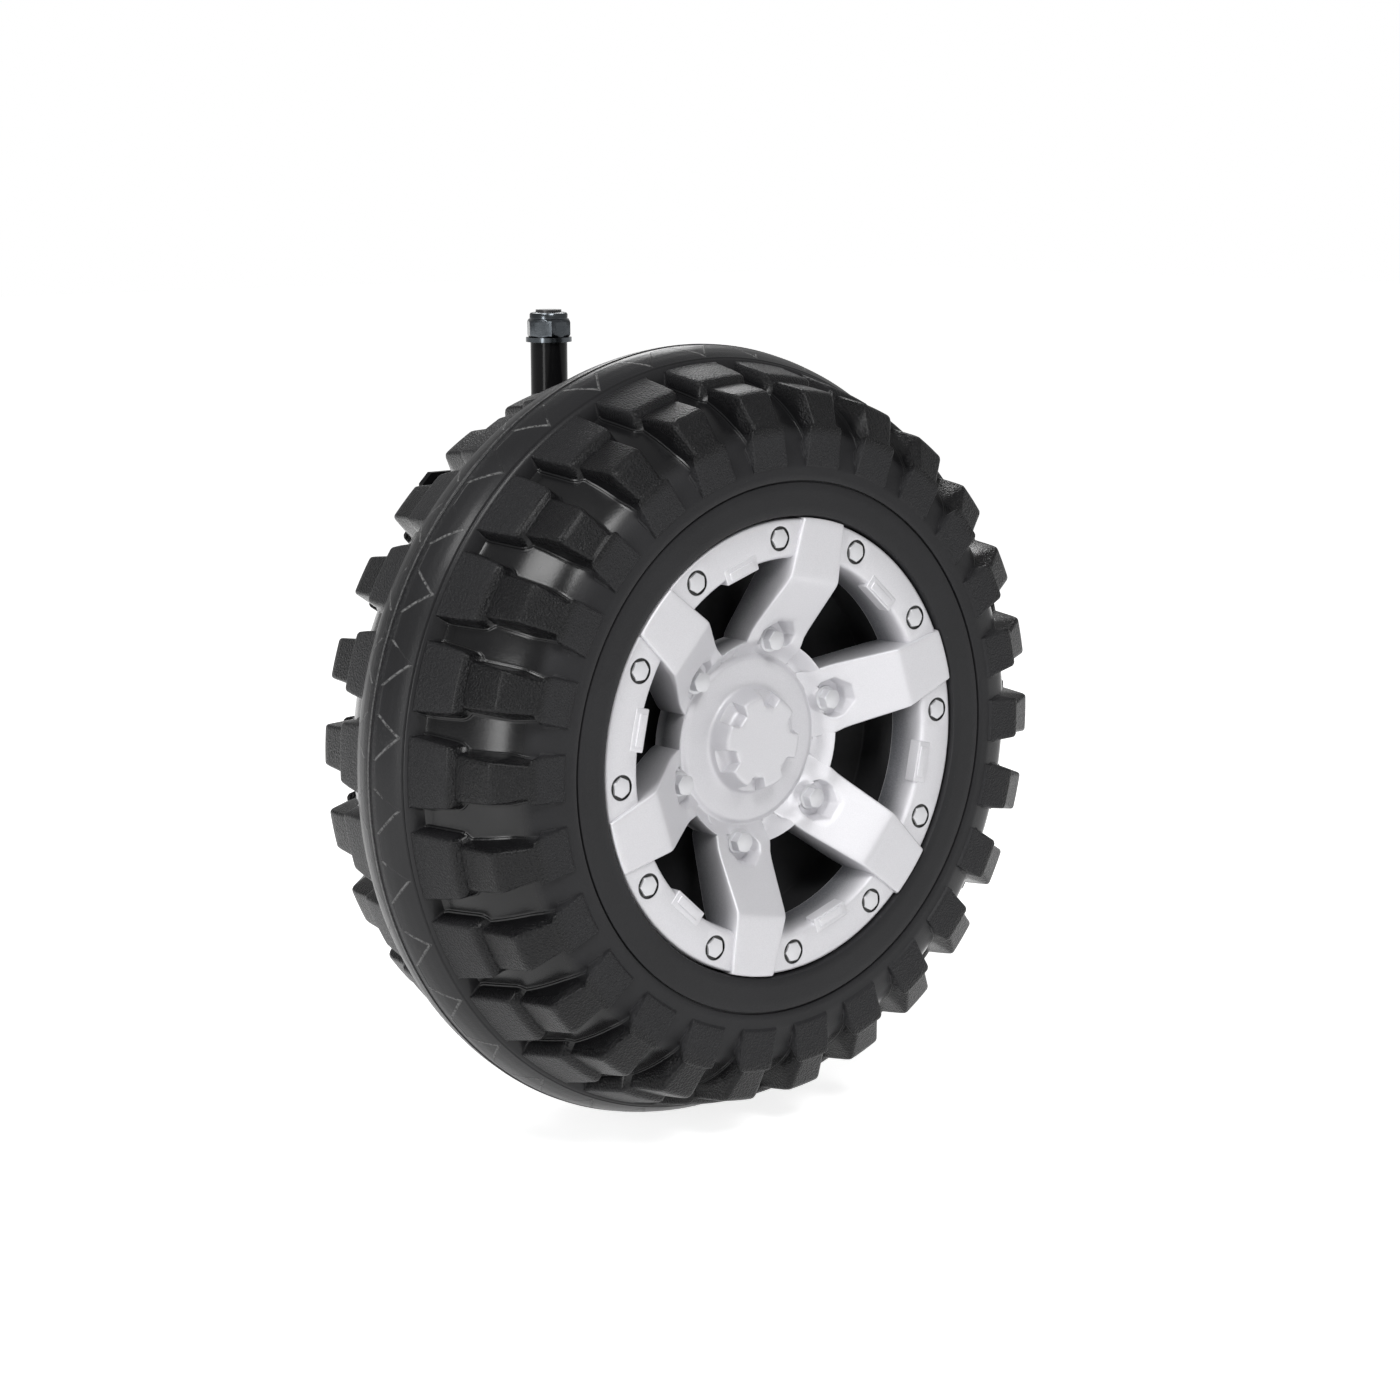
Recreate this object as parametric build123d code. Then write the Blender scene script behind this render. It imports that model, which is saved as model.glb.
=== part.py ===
# Front wheel unit of a children's ride-on off-road 4x4: a blow-moulded wheel with its spoked cap, the bent rod
# that is both kingpin and axle, its sleeve and bolted flange, and the geared drive motor behind the wheel.
# Millimetres. +Z is up, -Y is outboard (the cap's side), +X is the vehicle's rear.
# The origin is the middle of the flange's face, where it bolts to the vehicle's front frame.
import os
from math import cos, radians, sin

from build123d import *

# Wheel, its lugs and its sidewalls
tyre_r = 201.0
tyre_half_w = 78.5
cap_plane_to_mid = 74.5
lug_count = 26
lug_phase = 9.0
lug_root = 9.5
crown_lug_w = 36.0
shoulder_lug_w = 24.0
lip_w = 19.0

# The side's section, with each radius as a share of the way from the bead to the seam, and each offset from the
# mid-plane as a share of half the width
# columns: radius, offset
carcass_shares = [(0.108, 0.985), (0.400, 0.906), (0.630, 0.637), (0.754, 0.280)]
band_shares = [(0.885, 0.255), (0.970, 0.127)]
crown_lug_shares = [(0.855, 0.255), (0.792, 0.573)]
shoulder_lug_shares = [(0.750, 0.535), (0.692, 0.866), (0.431, 0.981), (0.108, 1.0)]

# Dishes of the wheel, outboard behind the cap and inboard around the gearbox
cap_seat_depth = 9.0
cap_edge_gap = 1.0
dish_shelf = 15.0
dish_depth = 50.0
hub_post_r = 27.0
hub_post_depth = 43.0
inner_dish_gap = 24.0
inner_dish_depth = 40.0

# Cap with its spokes, windows and boss
cap_r = 116.0
cap_wall = 2.6
cap_flats = 60
pad_raise = 2.0
pad_reach = 0.6
pad_len = 31.0
ring_w = 19.5
root_r = 46.0
root_depth = 33.0
pad_w_outer = 28.0
pad_w_kink = 33.0
spoke_w_root = 37.5
spoke_count = 6
spoke_phase = 12.4
hub_disc_r = 39.0
hub_disc_edge_r = 43.5
hub_disc_depth = 29.0
hub_wall_r = 52.5
hub_wall_depth = 40.0
hub_flats = 36
window_wall_depth = 21.0
boss_r = 27.3
boss_top_r = 23.6
boss_depth = 17.0
notch_w = 8.5
notch_reach = 5.0
notch_depth = 6.0
tab_w = 18.0
tab_len = 7.0
tab_raise = 0.8

# Bolt heads on the cap's ring and lug nuts at the spokes' roots
ring_bolt_inset = 9.5
ring_bolt_angle = 14.51
ring_bolt_flats = 9.4
ring_bolt_raise = 0.6
ring_pocket_flats = 11.6
ring_pocket_depth = 3.2
lug_nut_r = 52.0
lug_nut_flats = 9.6
lug_nut_h = 6.4
nut_pocket_r = 11.5
nut_pocket_depth = 31.0

# Bent rod, its sleeve and the bolted flange
rod_d = 14.0
rod_bend_r = 20.0
rod_gap = 6.0
sleeve_od = 20.0
sleeve_len = 122.0
sleeve_top_above_axle = 197.0
sleeve_fit = 0.08
nut_flats = 22.0
nut_hex_h = 10.0
nut_collar_h = 3.5
nut_collar_r = 10.3
rod_proud = 1.5
washer_r = 12.5
washer_t = 2.5
washer_play = 0.3
seat_gap = 0.3
kingpin_to_flange = 70.0
beam_below_sleeve_top = 97.0
beam_size = 30.0
beam_wall = 2.5
flange_w = 76.0
flange_h = 46.0
flange_t = 4.0
flange_hole_r = 4.25
flange_hole_x = 56.0
flange_hole_z = 26.0
flange_corner = 6.0

# Steering arm on the rod
arm_t = 5.0
arm_w = 24.0
arm_len = 60.0
arm_hole_r = 4.1

# Gearbox, with its cover, screws and torque plate
gear_main_r = 54.0
gear_neck_step = 4.0
gear_flats = 40
gear_end_r = 30.0
gear_end_x = 112.0
gear_end_z = 41.0
coupling_gap = 2.0
tyre_gap = 4.0
housing_t = 14.0
cover_t = 7.0
cover_rim_w = 3.0
rib_w = 4.0
rib_h = 1.6
rod_clear = 0.6
ear_r = 7.5
ear_flats = 12
screw_head_r = 4.2
screw_head_h = 2.2
plate_t = 3.0
plate_end_r = 21.0
slot_w = 17.0
slot_top = 22.0
slot_bottom = 9.5
plate_hole_x = 76.0
plate_hole_z = 29.0
plate_hole_r = 12.0
plate_boss_r = 7.5

# Motor with its slotted shroud
motor_r = 18.0
motor_len = 57.0
motor_flats = 32
shroud_gap = 0.4
shroud_r = 20.6
shroud_len = 48.0
slot_count = 8
slot_rows = 2
slot_share = 0.55
slot_len = 15.0
slot_pitch = 21.0
motor_boss_r = 6.5
motor_boss_h = 3.0
terminal_len = 8.0
terminal_w = 5.0
terminal_t = 0.8
terminal_at = 11.0

# Bushes in the wheel
bush_fit = 0.06
bush_r = 11.0
bush_press = 0.05
bush_flange_r = 16.0
bush_flange_t = 2.5
bush_len = 20.0
bush_flats = 24
coupling_r = 32.0
coupling_t = 6.0
dog_count = 6
dog_w = 7.0
dog_h = 4.0
over = 10.0

# Places worked out from the sizes above
rod_r = rod_d / 2
sleeve_r = sleeve_od / 2
mid = -cap_plane_to_mid
cap_edge_r = cap_r + cap_edge_gap
bead_r = cap_edge_r + lip_w
dish_r = cap_r - dish_shelf
ring_inner_r = cap_r - ring_w
kink_r = cap_r - pad_len
ring_bolt_r = cap_r - ring_bolt_inset
gear_neck_r = gear_main_r - gear_neck_step
inner_dish_r = gear_main_r + inner_dish_gap
bore_r = bush_r + bush_press
side_edge = carcass_shares[0][1] * tyre_half_w
inner_face = mid - side_edge
inner_dish_face = inner_face + inner_dish_depth
gear_main_depth = -inner_dish_face + coupling_t + dog_h + coupling_gap
gear_arm_depth = tyre_half_w - mid + tyre_gap
cover_depth = gear_arm_depth + housing_t
cover_face_depth = cover_depth + cover_t
cap_plane_to_kingpin = cover_face_depth + plate_t + rod_gap + rod_r
kingpin_y = -kingpin_to_flange
cap_plane_y = kingpin_y - cap_plane_to_kingpin
sleeve_top_z = beam_below_sleeve_top
axle_z = sleeve_top_z - sleeve_top_above_axle
sleeve_bottom_z = sleeve_top_z - sleeve_len
arm_top_z = sleeve_bottom_z - seat_gap - washer_t
nut_h = nut_hex_h + nut_collar_h
bush_face = -hub_post_depth + bush_flange_t
axle_washer_face = bush_face + seat_gap + washer_t
axle_end = axle_washer_face + nut_h + rod_proud

# Wheel frame: x to the rear, y up, z outboard, with its origin in the plane of the ring bolts
wheel_plane = Plane(origin=(0, cap_plane_y, axle_z), x_dir=(1, 0, 0), z_dir=(0, -1, 0))


def place(shape):
    # carries a shape from the wheel frame to the part's frame
    return wheel_plane.location * shape


def at_clock(shape, clock):
    # turns a shape that lies along the wheel frame's +x to degrees clockwise from the top, seen from outboard
    return Rot(0, 0, 90 - clock) * shape


def face_of(points):
    return make_face(Polyline(*points, close=True))


def ring_of(points):
    # solid of revolution about the wheel's axis from (radius, z) points
    return revolve(Plane.XZ * face_of(points), Axis.Z)


def faceted(points, flats, clock, closed):
    # the same drawn with flats, one of them at the clock angle, and with plain ends unless the points close
    half = radians(180 / flats)
    turn = radians(90 - clock)
    corners = [turn + (2 * k - 1) * half for k in range(flats)]
    rings = [[(r / cos(half) * cos(a), r / cos(half) * sin(a), z) for a in corners] for r, z in points]
    faces = [] if closed else [face_of(rings[0]), face_of(rings[-1])]
    for near, far in zip(rings, rings[1:] + rings[:1] if closed else rings[1:]):
        for k in range(flats):
            faces.append(face_of([near[k - 1], near[k], far[k], far[k - 1]]))
    return Solid(Shell(faces))


def slab(outline, z0, z1):
    # prism of an outline between two heights
    return Pos(0, 0, min(z0, z1)) * extrude(outline, abs(z1 - z0))


def hexagon(flats):
    return RegularPolygon(flats / 2, 6, major_radius=False)


# Wheel: a carcass with one flat under each lug and one in each groove, and both rows of lugs fused on
def side_points(shares):
    # (radius, offset from the mid-plane) points of the side's section
    return [(bead_r + r * (tyre_r - bead_r), v * tyre_half_w) for r, v in shares]


def make_carcass():
    # rings of corner points from the outboard side to the inboard side, joined by flat faces
    side = side_points(carcass_shares + band_shares)
    rows = [(r, mid + v) for r, v in side] + [(tyre_r, mid)] + [(r, mid - v) for r, v in reversed(side)]
    body = faceted(rows, 2 * lug_count, lug_phase, False)
    outer_dish = [
        (0, mid + side_edge + over),
        (cap_edge_r, mid + side_edge + over),
        (cap_edge_r, -cap_seat_depth),
        (dish_r, -cap_seat_depth),
        (dish_r, -dish_depth),
        (hub_post_r, -dish_depth),
        (hub_post_r, -hub_post_depth),
        (0, -hub_post_depth),
    ]
    inner_dish = slab(Circle(inner_dish_r), inner_face - over, inner_dish_face)
    bore = slab(Circle(bore_r), inner_dish_face - over, -hub_post_depth + over)
    return body - ring_of(outer_dish) - inner_dish - bore


def lug_blocks(side):
    # crown block, and shoulder block with its sidewall pad, of one lug along +x on one side of the mid-plane
    # columns: top, width, and how far the top's first and last points are drawn in to the root
    table = (
        (crown_lug_shares, crown_lug_w, (2 * lug_root, 0), (2 * lug_root, 0)),
        (shoulder_lug_shares, shoulder_lug_w, (2 * lug_root, 0), (0, lug_root)),
    )
    blocks = []
    for shares, width, first, last in table:
        top = side_points(shares)
        root = [(top[-1][0] - last[0], top[-1][1] - last[1]), (top[0][0] - first[0], top[0][1] - first[1])]
        outline = Plane.XZ * face_of([(r, mid + side * v) for r, v in top + root])
        blocks.append(extrude(outline, width / 2, both=True))
    return blocks


def make_wheel():
    lugs = []
    for side in (1, -1):
        blocks = lug_blocks(side)
        lug = blocks[0].fuse(*blocks[1:])
        for k in range(lug_count):
            lugs.append(at_clock(lug, lug_phase + k * 360 / lug_count))
    return make_carcass().fuse(*lugs)


# Cap: an outer ring, a hub and six folded spokes, with walls down both sides of each window
def spoke_outline(inset):
    # plan of one spoke along +x, drawn in by the inset
    # columns: radius, width
    rows = [
        (hub_disc_r, spoke_w_root),
        (root_r, spoke_w_root),
        (kink_r, pad_w_kink),
        (cap_r + over, pad_w_outer),
    ]
    left = [(r, w / 2 - inset) for r, w in rows]
    return face_of(left + [(r, -y) for r, y in reversed(left)]) & Circle(cap_r + pad_reach)


def spoke_body(points):
    # a spoke's section, as (radius, z) points, run across the spoke's full width
    return extrude(Plane.XZ * face_of(points), spoke_w_root / 2, both=True)


def make_spoke():
    reach = cap_r + over
    top = [(hub_disc_edge_r, -root_depth), (root_r, -root_depth), (kink_r, pad_raise)]
    plate = top + [(reach, pad_raise), (reach, -cap_wall), (kink_r + cap_wall, -cap_wall),
                   (root_r + cap_wall, -root_depth - cap_wall), (hub_disc_edge_r, -root_depth - cap_wall)]
    ring_back = ring_inner_r + cap_wall
    behind = top + [(ring_back, pad_raise), (ring_back, -window_wall_depth), (hub_wall_r, -hub_wall_depth),
                    (hub_disc_edge_r, -hub_wall_depth)]
    plan = slab(spoke_outline(0), -hub_wall_depth - over, over)
    inner = slab(spoke_outline(cap_wall), -hub_wall_depth - over, over)
    # the nut stands on an octagonal seat under the slope, in a pocket of the same shape
    octagon = Rot(0, 0, 180 / 8) * RegularPolygon(nut_pocket_r, 8)
    seat = Rot(0, 0, 180 / 8) * RegularPolygon(nut_pocket_r + cap_wall, 8)
    pocket = Pos(lug_nut_r, 0, 0) * slab(octagon, -nut_pocket_depth, over)
    floor = Pos(lug_nut_r, 0, 0) * slab(seat, -nut_pocket_depth - cap_wall, over)
    hollow = spoke_body(behind)
    spoke = (spoke_body(plate) & plan) + ((hollow & plan) - inner) + (hollow & floor & plan)
    return spoke - pocket


def make_cap():
    ring = faceted([
        (ring_inner_r, 0),
        (cap_r, 0),
        (cap_r, -cap_seat_depth),
        (ring_inner_r + cap_wall, -cap_seat_depth),
        (ring_inner_r + cap_wall, -window_wall_depth),
        (ring_inner_r, -window_wall_depth),
    ], cap_flats, spoke_phase, True)
    hub_bore_r = boss_top_r - cap_wall
    hub = faceted([
        (boss_top_r, -boss_depth),
        (boss_r, -hub_disc_depth),
        (hub_disc_r, -hub_disc_depth),
        (hub_disc_edge_r, -root_depth),
        (hub_wall_r, -root_depth),
        (hub_wall_r, -hub_wall_depth),
        (hub_bore_r, -hub_wall_depth),
        (hub_bore_r, -boss_depth - cap_wall),
    ], hub_flats, spoke_phase, False)
    spoke = make_spoke()
    spokes = [at_clock(spoke, spoke_phase + k * 360 / spoke_count) for k in range(spoke_count)]
    cap = ring.fuse(hub, *spokes)

    # pockets for the ring's bolt heads, notches around the boss, and a tab in the middle of each window
    cuts = []
    tabs = []
    for k in range(spoke_count):
        clock = spoke_phase + k * 360 / spoke_count
        for turn in (-ring_bolt_angle, ring_bolt_angle):
            pocket = Pos(ring_bolt_r, 0, 0) * slab(hexagon(ring_pocket_flats), -ring_pocket_depth, over)
            cuts.append(at_clock(pocket, clock + turn))
        notch = Pos(boss_r, 0, -boss_depth) * Box(2 * notch_reach, notch_w, 2 * notch_depth)
        cuts.append(at_clock(notch, clock))
        tab = Pos(ring_inner_r + tab_len / 2 - cap_wall / 2, 0, (tab_raise - cap_seat_depth) / 2) * Box(
            tab_len, tab_w, tab_raise + cap_seat_depth)
        tabs.append(at_clock(tab, clock + 180 / spoke_count))
    return cap.fuse(*tabs).cut(*cuts)


def make_ring_bolts():
    heads = []
    for k in range(spoke_count):
        for turn in (-ring_bolt_angle, ring_bolt_angle):
            head = Pos(ring_bolt_r, 0, 0) * slab(hexagon(ring_bolt_flats), -ring_pocket_depth, ring_bolt_raise)
            heads.append(at_clock(head, spoke_phase + k * 360 / spoke_count + turn))
    return Compound(children=heads)


def make_lug_nuts():
    nuts = []
    floor = -nut_pocket_depth
    for k in range(spoke_count):
        nut = slab(hexagon(lug_nut_flats), floor, floor + lug_nut_h)
        nuts.append(at_clock(Pos(lug_nut_r, 0, 0) * nut, spoke_phase + k * 360 / spoke_count))
    return Compound(children=nuts)


# Bushes: one behind the axle nut, one that also couples the gearbox to the wheel
def make_outer_bush():
    bush = slab(RegularPolygon(bush_flange_r, bush_flats), -hub_post_depth, bush_face)
    bush += slab(Circle(bush_r), -hub_post_depth - bush_len, bush_face)
    return bush - slab(Circle(rod_r + bush_fit), -hub_post_depth - bush_len - over, over)


def make_drive_coupling():
    back = inner_dish_face - coupling_t
    coupling = slab(RegularPolygon(coupling_r, bush_flats), back, inner_dish_face)
    coupling += slab(Circle(bush_r), back, inner_dish_face + bush_len)
    for k in range(dog_count):
        dog = Pos((coupling_r + bush_r) / 2, 0, back - dog_h / 2) * Box(coupling_r - bush_r, dog_w, dog_h)
        coupling += at_clock(dog, k * 360 / dog_count)
    return coupling - slab(Circle(rod_r + bush_fit), back - over, inner_dish_face + bush_len + over)


# Bent rod: kingpin above, axle to the outboard end
def make_bent_rod():
    top_z = sleeve_top_z + seat_gap + washer_t + nut_h + rod_proud
    path = FilletPolyline(
        (0, kingpin_y, top_z),
        (0, kingpin_y, axle_z),
        (0, cap_plane_y - axle_end, axle_z),
        radius=rod_bend_r,
    )
    return sweep(Plane(origin=(0, kingpin_y, top_z), z_dir=(0, 0, -1)) * Circle(rod_r), path=path)


def lock_nut():
    # hexagonal nut with its round collar, standing on z = 0
    nut = extrude(hexagon(nut_flats), nut_hex_h)
    nut += Pos(0, 0, nut_hex_h) * extrude(Circle(nut_collar_r), nut_collar_h)
    return nut - extrude(Circle(rod_r), nut_h)


def washer():
    return extrude(Circle(washer_r) - Circle(rod_r + washer_play), washer_t)


def on_kingpin(shape, z):
    return Pos(0, kingpin_y, z) * shape


def on_axle(shape, z):
    # stands a shape on a height along the axle, facing outboard
    return place(Pos(0, 0, z) * shape)


def make_washers():
    # behind the axle's nut, under the kingpin's nut, and between the sleeve and the steering arm
    return Compound(children=[
        on_axle(washer(), bush_face + seat_gap),
        on_kingpin(washer(), sleeve_top_z + seat_gap),
        on_kingpin(washer(), arm_top_z),
    ])


def make_lock_nuts():
    return Compound(children=[
        on_axle(lock_nut(), axle_washer_face),
        on_kingpin(lock_nut(), sleeve_top_z + seat_gap + washer_t),
    ])


def make_steering_arm():
    # a flat bar, drawn in towards the tie rod's hole
    w, end_w = arm_w / 2, arm_w / 3
    left = [(-w / 2, w), (w / 2, w), (arm_len, end_w), (arm_len + end_w, end_w / 2)]
    plan = face_of([(-w, w / 2)] + left + [(x, -y) for x, y in reversed(left)] + [(-w, -w / 2)])
    plan = plan - Circle(rod_r) - Pos(arm_len, 0, 0) * Circle(arm_hole_r)
    return on_kingpin(extrude(plan, arm_t), arm_top_z - arm_t)


# Sleeve, beam and flange, which stay with the vehicle
def make_sleeve():
    tube = Circle(sleeve_r) - Circle(rod_r + sleeve_fit)
    return on_kingpin(extrude(tube, sleeve_len), sleeve_bottom_z)


def make_beam():
    length = kingpin_to_flange - flange_t
    section = Rectangle(beam_size, beam_size) - Rectangle(beam_size - 2 * beam_wall, beam_size - 2 * beam_wall)
    beam = Plane(origin=(0, kingpin_y, 0), x_dir=(1, 0, 0), z_dir=(0, 1, 0)) * extrude(section, length)
    return beam - on_kingpin(extrude(Circle(sleeve_r), 2 * beam_size, both=True), 0)


def make_flange():
    plate = Rectangle(flange_w, flange_h)
    plate = chamfer(plate.vertices(), flange_corner)
    for x in (-flange_hole_x / 2, flange_hole_x / 2):
        for z in (-flange_hole_z / 2, flange_hole_z / 2):
            plate -= Pos(x, z, 0) * Circle(flange_hole_r)
    return Plane(origin=(0, 0, 0), x_dir=(1, 0, 0), z_dir=(0, -1, 0)) * extrude(plate, flange_t)


# Gearbox: a round part on the axle with an arm up to the motor
# clock angles of the ribs on its cover, clear of the torque plate
rib_clocks = (180, 225, 270, 315)

# columns: x and y of each cover screw in the wheel frame
screw_places = [
    (-gear_main_r - 2 * ear_r, -ear_r),
    (gear_main_r + 2 * ear_r - screw_head_r, -3 * ear_r),
    (gear_end_x + screw_head_r, ear_r),
]


def gear_outline(inset):
    ends = [
        RegularPolygon(gear_main_r - inset, gear_flats),
        Pos(gear_end_x, gear_end_z, 0) * RegularPolygon(gear_end_r - inset, gear_flats),
    ]
    return make_hull([edge for end in ends for edge in end.edges()])


def gear_plan():
    plan = gear_outline(0)
    for x, y in screw_places:
        ear = make_hull([
            *(Pos(x, y, 0) * RegularPolygon(ear_r, ear_flats)).edges(),
            *(Pos(x / 2, y / 2, 0) * RegularPolygon(ear_r, ear_flats)).edges(),
        ])
        plan += ear
    return plan


def make_gearbox_housing():
    housing = slab(gear_plan(), -gear_arm_depth, -cover_depth)
    housing += slab(RegularPolygon(gear_neck_r, gear_flats), -gear_main_depth, -gear_arm_depth - cover_rim_w)
    return housing - slab(Circle(rod_r + rod_clear), -gear_main_depth + over, -cover_depth - over)


def slot_outline():
    outline = Rectangle(slot_w, slot_top + slot_bottom - slot_w / 2)
    outline = Pos(0, (slot_top - slot_bottom + slot_w / 2) / 2, 0) * outline
    return outline + Pos(0, slot_w / 2 - slot_bottom, 0) * Circle(slot_w / 2)


def make_gearbox_cover():
    cover = slab(gear_plan(), -cover_depth, -cover_face_depth)
    inner, outer = plate_end_r + rib_w, gear_main_r - cover_rim_w
    for clock in rib_clocks:
        rib = Pos((inner + outer) / 2, 0, -cover_face_depth) * Box(outer - inner, rib_w, 2 * rib_h)
        cover += at_clock(rib, clock)
    cover += Pos(plate_hole_x, plate_hole_z, 0) * slab(
        Circle(plate_boss_r), -cover_face_depth, -cover_face_depth - plate_t)
    cover -= slab(slot_outline(), -cover_depth, -cover_face_depth - over)
    return cover


def make_cover_screws():
    heads = []
    for x, y in screw_places:
        z = -cover_face_depth
        heads.append(Pos(x, y, 0) * slab(Circle(screw_head_r), z, z - screw_head_h))
    return Compound(children=heads)


def make_torque_plate():
    z0 = -cover_face_depth
    ends = [
        RegularPolygon(plate_end_r, gear_flats),
        Pos(gear_end_x, gear_end_z, 0) * RegularPolygon(gear_end_r - cover_rim_w, gear_flats),
    ]
    plan = make_hull([edge for end in ends for edge in end.edges()])
    plan -= slot_outline()
    plan -= Pos(plate_hole_x, plate_hole_z, 0) * Circle(plate_hole_r)
    plan -= Pos(gear_end_x + screw_head_r, ear_r, 0) * Circle(ear_r)
    return slab(plan, z0, z0 - plate_t)


def make_motor():
    base = -cover_face_depth - plate_t
    can = slab(RegularPolygon(motor_r, motor_flats), base, base - motor_len)
    can += slab(RegularPolygon(motor_boss_r, motor_flats), base - motor_len, base - motor_len - motor_boss_h)
    for x in (-terminal_at, terminal_at):
        z = base - motor_len - terminal_len / 2
        can += Pos(x, 0, z) * Box(terminal_t, terminal_w, terminal_len)
    return Pos(gear_end_x, gear_end_z, 0) * can


def make_motor_shroud():
    # a tube of many flats, with a slot in every other flat of each row
    base = -cover_face_depth - plate_t
    flats = 2 * slot_count
    outline = RegularPolygon(shroud_r, flats, major_radius=False)
    outline -= RegularPolygon(motor_r + shroud_gap, flats, major_radius=False)
    tube = slab(outline, base, base - shroud_len)
    width = slot_share * 2 * shroud_r * sin(radians(360 / flats))
    for row in range(slot_rows):
        z = base - slot_len / 2 - (row + 1 / 4) * slot_pitch
        for k in range(slot_count):
            cut = Pos(shroud_r, 0, z) * Box(2 * (shroud_r - motor_r), width, slot_len)
            tube -= at_clock(cut, (k + 1 / 4) * 360 / slot_count)
    return Pos(gear_end_x, gear_end_z, 0) * tube


parts = {
    "tyre": place(make_wheel()),
    "wheel_cap": place(make_cap()),
    "ring_bolts": place(make_ring_bolts()),
    "lug_nuts": place(make_lug_nuts()),
    "axle_bushes": place(Compound(children=[make_outer_bush(), make_drive_coupling()])),
    "bent_rod": make_bent_rod(),
    "washers": make_washers(),
    "lock_nuts": make_lock_nuts(),
    "steering_arm": make_steering_arm(),
    "gearbox_housing": place(make_gearbox_housing()),
    "gearbox_cover": place(make_gearbox_cover()),
    "cover_screws": place(make_cover_screws()),
    "torque_plate": place(make_torque_plate()),
    "motor": place(make_motor()),
    "motor_shroud": place(make_motor_shroud()),
    "kingpin_sleeve": make_sleeve(),
    "beam_stub": make_beam(),
    "mount_flange": make_flange(),
}

os.makedirs("parts", exist_ok=True)
for name, shape in parts.items():
    export_step(shape, f"parts/{name}.step")
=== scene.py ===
import bmesh
import bpy
import numpy as np
from mathutils import Matrix, Vector


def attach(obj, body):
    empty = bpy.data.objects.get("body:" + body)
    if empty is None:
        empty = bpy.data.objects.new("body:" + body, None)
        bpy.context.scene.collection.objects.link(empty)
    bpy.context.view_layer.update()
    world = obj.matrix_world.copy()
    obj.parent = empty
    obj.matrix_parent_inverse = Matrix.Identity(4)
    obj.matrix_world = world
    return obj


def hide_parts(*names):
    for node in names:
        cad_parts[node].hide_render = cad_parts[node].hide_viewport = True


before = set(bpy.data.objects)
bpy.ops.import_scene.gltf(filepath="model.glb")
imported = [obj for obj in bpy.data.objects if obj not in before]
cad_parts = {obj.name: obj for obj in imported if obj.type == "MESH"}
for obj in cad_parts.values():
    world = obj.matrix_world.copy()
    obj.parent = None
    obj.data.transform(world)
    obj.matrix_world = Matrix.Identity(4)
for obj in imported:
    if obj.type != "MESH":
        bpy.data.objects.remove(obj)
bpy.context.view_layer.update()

mm = 0.001
radian = 57.29578
capPlaneY = -264.0
axleZ = -100.0
midZ = -74.5
kingpinY = -70.0
sleeveTopZ = 97.0
floorZ = -0.3013


# Shader maths

class Wire:
    # a shader socket, so that masks and colours can be written as sums and products
    tree = None

    def __init__(self, socket):
        self.socket = socket

    @classmethod
    def node(cls, kind, settings=None, **inputs):
        made = cls.tree.nodes.new(kind)
        for key, value in (settings or {}).items():
            setattr(made, key, value)
        for key, value in inputs.items():
            spot = made.inputs[int(key[1:])] if key[1:].isdigit() else made.inputs[key.replace("_", " ")]
            cls.feed(spot, value)
        return made

    @classmethod
    def feed(cls, spot, value):
        if isinstance(value, Wire):
            cls.tree.links.new(value.socket, spot)
        else:
            spot.default_value = value

    @classmethod
    def maths(cls, operation, *values):
        made = cls.tree.nodes.new("ShaderNodeMath")
        made.operation = operation
        for spot, value in zip(made.inputs, values):
            cls.feed(spot, value)
        return cls(made.outputs[0])

    def __add__(self, other): return Wire.maths("ADD", self, other)
    def __radd__(self, other): return Wire.maths("ADD", other, self)
    def __sub__(self, other): return Wire.maths("SUBTRACT", self, other)
    def __rsub__(self, other): return Wire.maths("SUBTRACT", other, self)
    def __mul__(self, other): return Wire.maths("MULTIPLY", self, other)
    def __truediv__(self, other): return Wire.maths("DIVIDE", self, other)
    def __abs__(self): return Wire.maths("ABSOLUTE", self)
    def less(self, other): return Wire.maths("LESS_THAN", self, other)
    def more(self, other): return Wire.maths("GREATER_THAN", self, other)
    def least(self, other): return Wire.maths("MINIMUM", self, other)
    def most(self, other): return Wire.maths("MAXIMUM", self, other)
    def part(self): return Wire.maths("FRACT", self)
    def ramp(self, low, high):
        # 0 below low, 1 above high, smooth in between
        made = Wire.node("ShaderNodeMapRange", {"interpolation_type": "SMOOTHSTEP"}, _0=self, _1=low, _2=high)
        return Wire(made.outputs[0])


def mixColour(factor, first, second):
    made = Wire.node("ShaderNodeMix", {"data_type": "RGBA"}, _0=factor, _6=first, _7=second)
    return Wire(made.outputs[2])


def objectPlace():
    return Wire(Wire.node("ShaderNodeTexCoord").outputs["Object"])


def noise(scale, detail=3.0, roughness=0.55):
    made = Wire.node("ShaderNodeTexNoise", None, Vector=objectPlace(), Scale=scale, Detail=detail,
                     Roughness=roughness)
    return Wire(made.outputs[0])


def cells(scale):
    made = Wire.node("ShaderNodeTexVoronoi", None, Vector=objectPlace(), Scale=scale)
    return Wire(made.outputs[0])


def attribute(name):
    return Wire(Wire.node("ShaderNodeAttribute", {"attribute_name": name}).outputs["Fac"])


def bump(height, distance=1.0, strength=1.0):
    # the height is in metres where the distance is 1
    made = Wire.node("ShaderNodeBump", None, Strength=strength, Distance=distance, Height=height)
    return Wire(made.outputs[0])


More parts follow.
